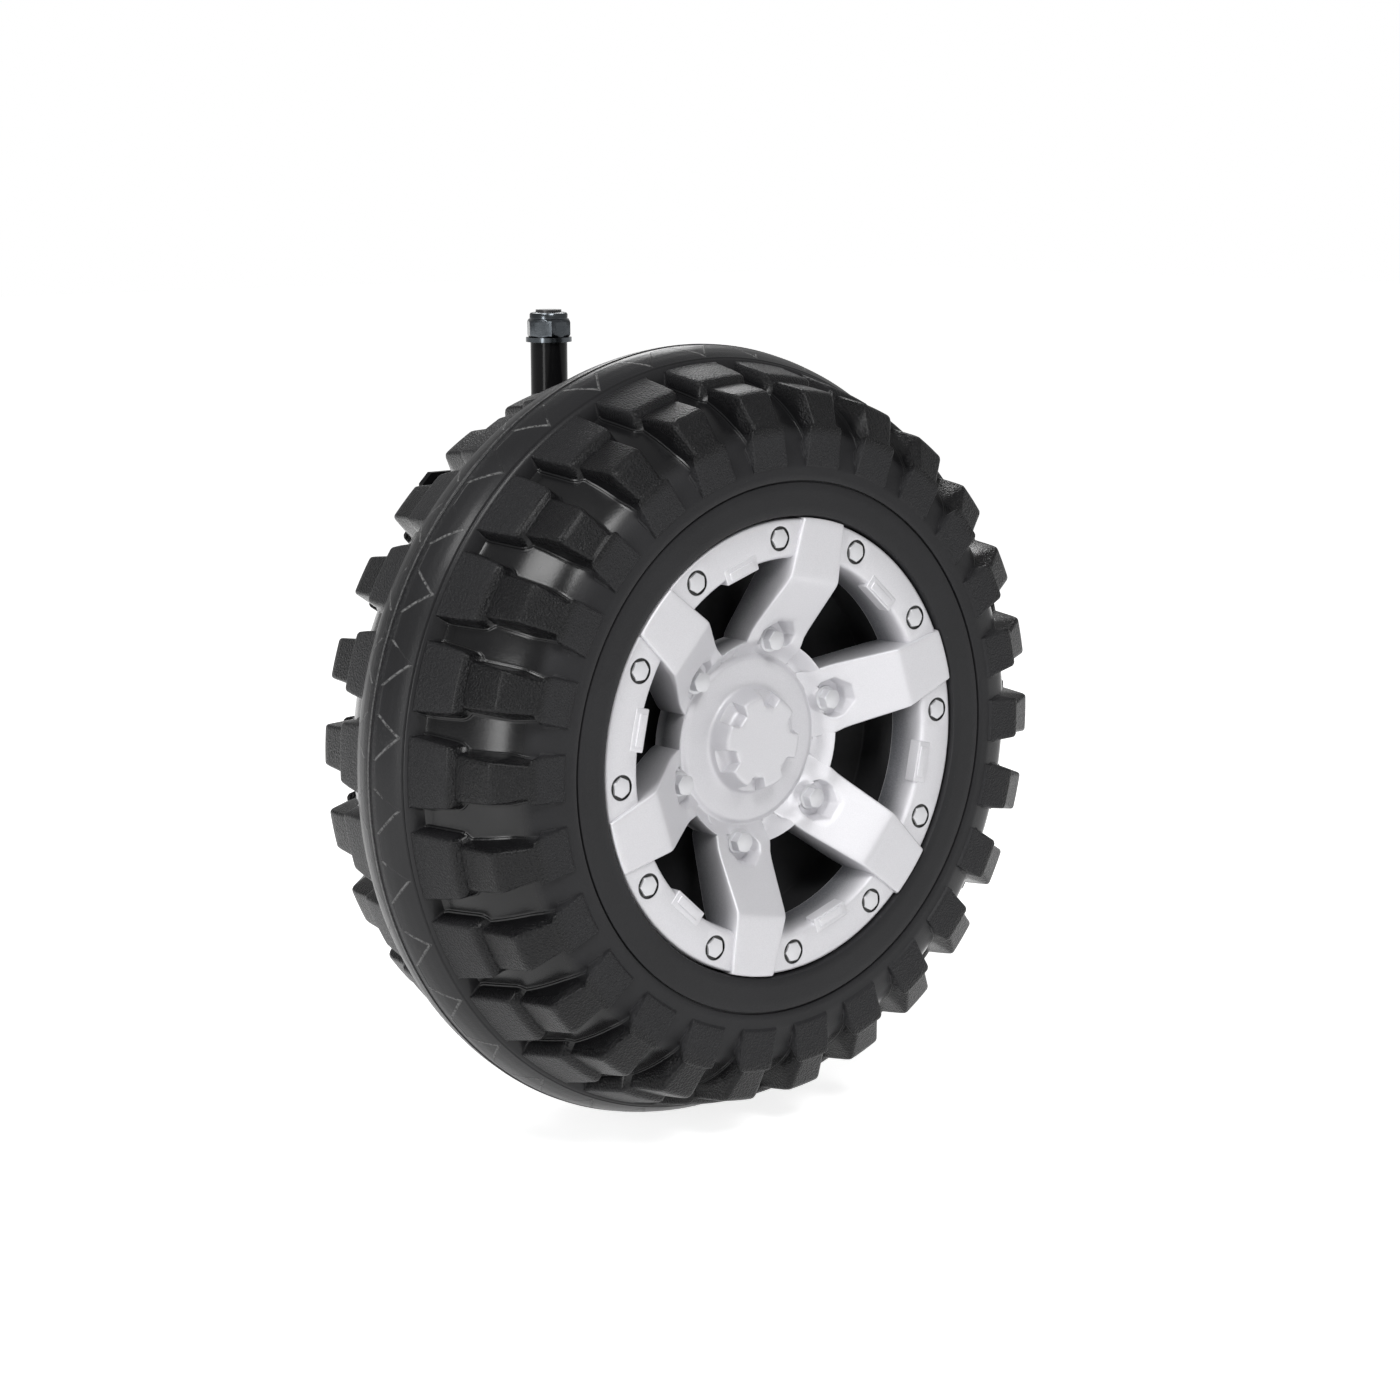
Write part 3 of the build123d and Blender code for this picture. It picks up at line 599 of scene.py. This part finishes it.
def makeSpokes():
    # Around the nut each spoke is drawn by rays from the plate's rim to the octagon of the nut's pocket; the rest is
    # a grid along and across it. A strip down each side rounds the edge over and makes the window's wall.
    nut, tiny, far = cap["nutR"], 1e-9, 1e9
    fanEnd = spokeHalf(nut + fan["out"])
    corner = np.degrees(np.arctan2(fanEnd, fan["out"]))
    hubCorner = 180 - np.degrees(np.arctan2(spokeHalf(nut - fan["in"]), fan["in"]))
    one = np.sort(np.array([0, 7.5, 15, 22.5, 29.5, 36, corner, 56, 67.5, 79, 90, 101, 112.5, 119.5, hubCorner, 137,
                            147, 157.5, 165, 172.5, 180]))
    rays = np.radians(np.concatenate([one, -one[::-1][1:-1]]))
    sine, cosine = np.sin(rays), np.cos(rays)
    upright = np.abs(sine)
    # a ray's reach to the fan's outer edge, its inner edge and the spoke's side, which is tried again a few times
    reachUp = np.where(cosine > tiny, fan["out"] / np.maximum(cosine, tiny), far)
    reachDown = np.where(cosine < -tiny, fan["in"] / np.maximum(-cosine, tiny), far)
    taper = (fanEnd - spokeHalf(nut)) / fan["out"]
    reachSide = np.where(upright > tiny, spokeHalf(nut) / np.maximum(upright - taper * cosine, tiny), far)
    for _ in range(4):
        reachSide = np.where(upright > tiny, spokeHalf(nut + reachSide * cosine) / np.maximum(upright, tiny), far)
    rim = np.minimum(np.minimum(reachUp, reachDown), reachSide)
    # distance to an octagon's edge along each ray, for an octagon of circumradius 1 with flats towards the axle
    eighth = np.pi / 4
    octagon = np.cos(eighth / 2) / np.cos((rays + eighth / 2) % eighth - eighth / 2)
    floorLevel = -cap["pocketDepth"]
    # towards the axle the octagon eases into the nut's round seat
    share = eased((-cosine - 0.05) / 0.5)
    hole = octagon * cap["pocketR"] * (1 - share) + cap["seatR"] * share
    across = fan["out"] * np.tan(np.radians(one[one <= corner + 1e-6])) / fanEnd
    across = np.concatenate([-across[::-1][:-1], across])
    atSide = (rays >= np.radians(corner) - tiny) & (rays <= np.radians(hubCorner) + tiny)
    edgeRows = np.concatenate([np.sort((nut + rim * cosine)[atSide]), spokeRows[1:]])
    edgeDrop = np.concatenate([np.zeros(len(edgeRows) - len(spokeRows) + 1), endDrop[1:]])
    wallDepth = np.interp(edgeRows, *wallDepths)
    grids = []
    for clock in spokeClocks:
        rows = []
        for share in (0, 0.35, 0.7, 1.0):
            reach = rim + (hole + 0.7 - rim) * share
            a, x = nut + reach * cosine, reach * sine
            rows.append(spokePoint(clock, a, x, spokeHeight(a, x)))
        lip = spokeHeight(nut + hole * cosine, hole * sine)
        for inset, depth in ((0.25, 0.25), (-0.1, 0.8)):
            reach = hole + inset
            level = lip + np.clip(floorLevel - lip, -depth, depth)
            rows.append(spokePoint(clock, nut + reach * cosine, reach * sine, level))
        for inset, above in pocketRows:
            reach = hole + inset
            level = np.where(lip > floorLevel, floorLevel + above, floorLevel - above * 0.3)
            rows.append(spokePoint(clock, nut + reach * cosine, reach * sine, level))
        rows.append(spokePoint(clock, nut + 0.01 * cosine, 0.01 * sine, np.full_like(rays, floorLevel)))
        grids.append((np.array(rows), True, 0.0))
        a = spokeRows[:, None] + 0 * across[None, :]
        x = across[None, :] * spokeHalf(a)
        grids.append((spokePoint(clock, bowed(a, x), x, spokeHeight(a, x) - endDrop[:, None]), False, 0.0))
        for side in (-1, 1):
            arc = edgeArc[None, :]
            a = edgeRows[:, None]
            x = spokeHalf(a) + cap["edge"] * np.sin(arc)
            top = spokeHeight(a, x) - edgeDrop[:, None]
            z = top - cap["edge"] * (1 - np.cos(arc))
            deep = -wallDepth[:, None]
            wall = np.array([0.12, 0.35, 0.65, 0.985, 1.0])[None, :]
            x = np.concatenate([x, x[:, -1:] + 0 * wall], 1)
            z = np.concatenate([z, z[:, -1:] + (np.minimum(deep, z[:, -1:] - 0.2) - z[:, -1:]) * wall], 1)
            a = np.broadcast_to(a, x.shape)
            # painted shade down each window's wall, growing with depth, and none on the back edge
            wallShade = np.broadcast_to(np.concatenate([np.zeros((1, 5)), (0.05 + 0.65 * wall) * (wall < 1)], 1), x.shape)
            grids.append((spokePoint(clock, bowed(a, x), side * x, z), False, wallShade))
    return joinGrids("cap_spokes", grids)


# Half of the hub's section, from the axle out: the boss with notches in its side, and the stepped disc.
# columns: height and radius between the notches, the same in a notch, the degrees between notches, rows
hubRows = np.array([
    (-17.0, 0.02, -17.0, 0.02, 30.0, 0),
    (-17.0, 8.0, -17.0, 8.0, 24.0, 2),
    (-17.0, 17.6, -17.0, 17.6, 43.0, 3),
    (-17.0, 18.2, -17.2, 18.1, 42.0, 1),
    (-17.0, 18.7, -18.0, 18.6, 40.0, 1),
    (-17.0, 19.4, -20.6, 19.0, 38.0, 2),
    (-17.0, 20.4, -22.9, 19.6, 36.0, 2),
    (-17.0, 21.6, -24.1, 20.8, 34.0, 1),
    (-17.1, 22.7, -24.5, 22.4, 32.5, 1),
    (-17.35, 23.4, -24.7, 23.8, 31.5, 1),
    (-17.9, 23.9, -24.9, 24.9, 31.5, 1),
    (-21.0, 24.9, -25.1, 25.6, 32.0, 2),
    (-24.0, 25.8, -25.4, 26.2, 33.0, 1),
    (-26.2, 26.5, -26.4, 26.6, 34.5, 1),
    (-27.6, 27.1, -27.6, 27.1, 36.0, 1),
    (-28.4, 27.8, -28.4, 27.8, 38.0, 1),
    (-28.75, 29.0, -28.75, 29.0, 40.0, 1),
    (-28.8, 33.0, -28.8, 33.0, 42.0, 2),
    (-28.8, 40.6, -28.8, 40.6, 44.0, 2),
    (-28.95, 41.5, -28.95, 41.5, 45.0, 1),
    (-29.4, 42.4, -29.4, 42.4, 45.5, 1),
    (-29.95, 43.1, -29.95, 43.1, 46.0, 1),
    (-30.3, 43.8, -30.3, 43.8, 46.2, 1),
    (-30.4, 44.6, -30.4, 44.6, 46.5, 1),
    (-29.9, 45.3, -29.9, 45.3, 46.8, 1),
    (-26.1, 48.5, -26.1, 48.5, 47.5, 2),
    (-22.1, 51.5, -22.1, 51.5, 48.3, 2),
    (-21.25, 52.2, -21.25, 52.2, 48.5, 1),
    (-21.0, 52.6, -21.0, 52.6, 48.6, 1),
    (-21.3, 52.9, -21.3, 52.9, 48.7, 1),
    (-22.0, 53.0, -22.0, 53.0, 48.7, 1),
    (-40.0, 53.0, -40.0, 53.0, 48.7, 3),
])
notch = {"count": 6, "phase": 42.4, "edge": 1.0, "draft": 0.05, "ledge": 0.0, "ledgeRise": 0.0, "foot": 1.6}
# where the hub's rim starts and its outer wall, and the rim's height and half its width under a spoke
hub = {"rimR": 44.9, "wallR": 52.95, "sunkZ": -31.5, "sunkHalf": 16.9}


def makeHub():
    clocks, radii, heights, _ = lobed(spread(hubRows), notch)
    # under a spoke the rim gives way, since the spoke's own surface carries it on round the nut's pocket
    turn = np.radians((clocks - cap["phase"] + 30) % 60 - 30)
    onRim = radii > hub["rimR"]
    under = (np.abs(radii * np.sin(turn)) < hub["sunkHalf"]) & onRim
    sunk = np.where(under, np.minimum(heights, hub["sunkZ"]), heights - 0.05 * onRim)
    # painted shade on the hub's outer wall, growing with depth
    paintedShade = wearAndShade(heights + 19, -21.0) * (radii > hub["wallR"])
    return joinGrids("cap_hub", [(wheelPoint(clocks, radii, sunk), True, paintedShade)])


# a tab on the ring is two blocks: middle and size of each, as (across, along, height), and their rounded edge
tab = {"blocks": (((0, 97.4, -6.5), (21.5, 8.0, 6.85)), ((0, 96.8, -6.0), (16.5, 4.6, 7.2))), "edge": 0.5}


def roundedBlock(middle, sizes, edge):
    # A block whose top edges and corners are arcs: rings of a rounded rectangle, each drawn in by edge (1 - cos)
    # and raised by edge sin, and the last one drawn in to a point. Places are (across, along, height).
    turns = np.linspace(0, 2 * np.pi, 24, endpoint=False) + np.pi / 24
    width, length, height = sizes
    rings = []
    for lift, inset in [(0, 0)] + [(height - edge + edge * np.sin(t), edge * (1 - np.cos(t)))
                                   for t in np.linspace(0, np.pi / 2, 4)] + [(height, None)]:
        if inset is None:
            x, y = 0 * turns, 0 * turns
        else:
            reach = edge * 1.4 - inset * 0.6
            x = np.sign(np.cos(turns)) * (width / 2 - inset - reach) + reach * np.cos(turns)
            y = np.sign(np.sin(turns)) * (length / 2 - inset - reach) + reach * np.sin(turns)
        rings.append(np.stack([middle[0] + x, middle[1] + y, middle[2] + lift + 0 * x], -1))
    return np.array(rings)


def makeTabs():
    grids = []
    for clock in spokeClocks + 30:
        for middle, sizes in tab["blocks"]:
            block = roundedBlock(middle, sizes, tab["edge"])
            grids.append((spokePoint(clock, block[..., 1], block[..., 0], block[..., 2]), True, 0.0))
    return joinGrids("cap_tabs", grids)


def hexRings(flats, rows):
    # rings of a hexagon of that size over flats, each held inside its row's own circle, as (radius, height)
    turns = np.radians(np.arange(48) * 7.5)
    hexagon = flats / 2 / np.cos((turns + np.pi / 6) % (np.pi / 3) - np.pi / 6)
    rows = np.array(rows, float)
    reach = np.minimum(hexagon[None, :], rows[:, :1])
    return reach * np.sin(turns), reach * np.cos(turns), rows[:, 1:] + 0 * reach


def makeHeads(name, flats, rows, radius, clocks):
    x, y, z = hexRings(flats, rows)
    return joinGrids(name, [(spokePoint(clock, radius + y, x, z), True, 0.0) for clock in clocks])


capPieces = {"cap_ring": makeRing, "cap_spokes": makeSpokes, "cap_hub": makeHub, "cap_tabs": makeTabs}
for name, make in capPieces.items():
    addPiece(name, make(), "silver_cap", "wheel_cap")

# heads and flanges, as (radius, z) rows of a hexagon of a size over flats
boltRows = [(9, -0.9), (9, 0.0), (5.0, 0.12), (4.75, 0.28), (4.6, 0.3), (0.02, 0.3)]
nutRows = [(9, -26.0), (9, -21.0), (5.45, -20.7), (5.2, -20.1), (4.95, -19.8), (4.75, -19.7), (0.02, -19.7)]
flangeRows = [(6.7, -26.2), (6.7, -25.6), (6.4, -25.0), (5.9, -24.8), (0.02, -24.8)]
heads = {
    # name: size over flats, rows, distance from the axle, clocks, slot and the node that is replaced
    "ring_bolt_heads": (9.0, boltRows, cap["boltR"], boltClocks, "silver_bolts", "ring_bolts"),
    "lug_nut_heads": (9.6, nutRows, cap["nutR"], spokeClocks, "silver_nuts", "lug_nuts"),
    "lug_nut_flanges": (30, flangeRows, cap["nutR"], spokeClocks, "silver_nuts", "lug_nuts"),
}
for name, (flats, rows, radius, clocks, slotName, node) in heads.items():
    addPiece(name, makeHeads(name, flats, rows, radius, clocks), slotName, node)
print("cap")


# Lock nuts, with chamfered hexagons and round collars

lockNut = {"flats": 22.0, "washers": 2.8, "axleZ": -37.7}
lockRows = [(7.1, 0.0), (10.6, 0.0), (11.2, 0.25), (12.4, 0.9), (12.8, 1.6), (12.8, 8.2), (12.3, 9.1), (11.0, 9.9),
            (10.3, 10.2), (10.3, 12.4), (9.9, 13.2), (9.2, 13.5), (8.0, 13.5), (7.7, 13.1), (7.1, 12.9)]
x, y, z = hexRings(lockNut["flats"], lockRows)
lockNuts = {
    "kingpin_nut": np.stack([x, kingpinY + y, sleeveTopZ + lockNut["washers"] + z], -1),
    "axle_nut": wheelPoint(np.degrees(np.arctan2(x, y)), np.hypot(x, y), lockNut["axleZ"] + z),
}
for name, grid in lockNuts.items():
    addPiece(name, joinGrids(name, [(grid, True, 0.0)]), "zinc", "lock_nuts", "knuckle")


# CAD nodes that are kept, each with its finish

keptNodes = {
    "axle_bushes": "bush_plastic", "bent_rod": "rod_steel",
    "washers": "zinc", "steering_arm": "black_steel", "gearbox_housing": "gearbox_plastic",
    "gearbox_cover": "gearbox_cover_plastic", "cover_screws": "screw_zinc", "torque_plate": "grey_steel",
    "motor": "motor_can", "motor_shroud": "shroud_plastic", "kingpin_sleeve": "black_steel",
    "beam_stub": "black_steel", "mount_flange": "black_steel",
}
for node, slotName in keptNodes.items():
    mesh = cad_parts[node].data
    mesh.materials.clear()
    mesh.materials.append(finishes[slotName])
print("pieces made")


# Stage, light and camera

def seenWhite(mirrored=1.0):
    # 1 where a ray comes from the camera or through glass, and mirrored where it comes by way of a glossy surface
    path = Wire.node("ShaderNodeLightPath")
    rays = [Wire(path.outputs[name]) for name in ("Is Camera Ray", "Is Glossy Ray", "Is Transmission Ray")]
    return rays[0].most(rays[1] * mirrored).most(rays[2])


def mixShader(tree, factor, first, second, kind="ShaderNodeMixShader"):
    # the second shader over the first by the factor, or both added where there is none
    made = tree.nodes.new(kind)
    if factor is not None:
        Wire.feed(made.inputs[0], factor)
    tree.links.new(first, made.inputs[-2])
    tree.links.new(second, made.inputs[-1])
    return made.outputs[0]


floorLook = {"colour": (0.80, 0.80, 0.80, 1), "glow": 0.80, "halfSize": 9.0}


def makeFloor():
    # pale diffuse ground that takes the shadow, and adds its own glow where it is seen
    made, shader = material("floor_white")
    tree = made.node_tree
    fill(shader, Base_Color=floorLook["colour"], Roughness=0.75 + noise(3.0) * 0.1)
    glow = Wire.node("ShaderNodeEmission", None, Color=(1, 1, 1, 1), Strength=floorLook["glow"])
    lit = mixShader(tree, None, shader.outputs[0], glow.outputs[0], "ShaderNodeAddShader")
    shown = mixShader(tree, seenWhite(), shader.outputs[0], lit)
    tree.links.new(shown, tree.nodes["Material Output"].inputs[0])
    mesh = bpy.data.meshes.new("floor")
    s = floorLook["halfSize"]
    mesh.from_pydata([(-s, -s, floorZ), (s, -s, floorZ), (s, s, floorZ), (-s, s, floorZ)], [], [(0, 1, 2, 3)])
    mesh.materials.append(made)
    floor = bpy.data.objects.new("floor", mesh)
    bpy.context.scene.collection.objects.link(floor)


makeFloor()

lamps = {
    # name: place, aimed at, width and height, power
    "key": ((-1.15, -0.5, 1.3), (0, -0.2, -0.05), (0.65, 0.45), 11),
    "front": ((-0.45, -1.45, 1.15), (0, -0.2, -0.05), (0.6, 0.6), 13.5),
    "left": ((-1.4, -0.6, 0.1), (0, -0.2, -0.1), (0.3, 0.7), 6),
    "behind": ((0.9, 1.1, 0.9), (0, -0.2, -0.1), (0.5, 0.5), 5),
}
for name, (place, aim, size, power) in lamps.items():
    light = bpy.data.lights.new(name, "AREA")
    light.shape, light.size, light.size_y, light.energy = "RECTANGLE", size[0], size[1], power
    lamp = bpy.data.objects.new(name, light)
    bpy.context.scene.collection.objects.link(lamp)
    lamp.location = place
    lamp.rotation_euler = (Vector(place) - Vector(aim)).to_track_quat("Z", "Y").to_euler()

# the room is white where it is seen, and lights and mirrors as these shares of white
roomLook = {"light": 0.3, "mirrored": 0.12}
world = bpy.data.worlds.new("studio")
bpy.context.scene.world = world
world.use_nodes = True
Wire.tree = world.node_tree
room = Wire.node("ShaderNodeBackground", None, Color=(1, 1, 1, 1), Strength=roomLook["light"])
white = Wire.node("ShaderNodeBackground", None, Color=(1, 1, 1, 1), Strength=1.0)
shown = mixShader(world.node_tree, seenWhite(roomLook["mirrored"]), room.outputs[0], white.outputs[0])
world.node_tree.links.new(shown, world.node_tree.nodes["World Output"].inputs[0])

# the camera's place in metres, its axes, its lens in mm and its shift, all solved from the photograph
view = {
    "place": (-1.012, -1.406, 0.195), "lens": 78.45, "shift": (-0.1705, -0.1872),
    "right": (0.7141, -0.7001, 0.0), "up": (0.0632, 0.0644, 0.9959), "back": (-0.6972, -0.7112, 0.0902),
}
camera = bpy.data.objects.new("camera", bpy.data.cameras.new("camera"))
bpy.context.scene.collection.objects.link(camera)
bpy.context.scene.camera = camera
turn = Matrix((view["right"], view["up"], view["back"])).transposed().to_4x4()
camera.matrix_world = Matrix.Translation(view["place"]) @ turn
camera.data.sensor_width = 36.0
camera.data.lens = view["lens"]
camera.data.shift_x, camera.data.shift_y = view["shift"]
camera.data.clip_start, camera.data.clip_end = 0.05, 50
bpy.context.scene.view_settings.view_transform = "Standard"
print("stage")
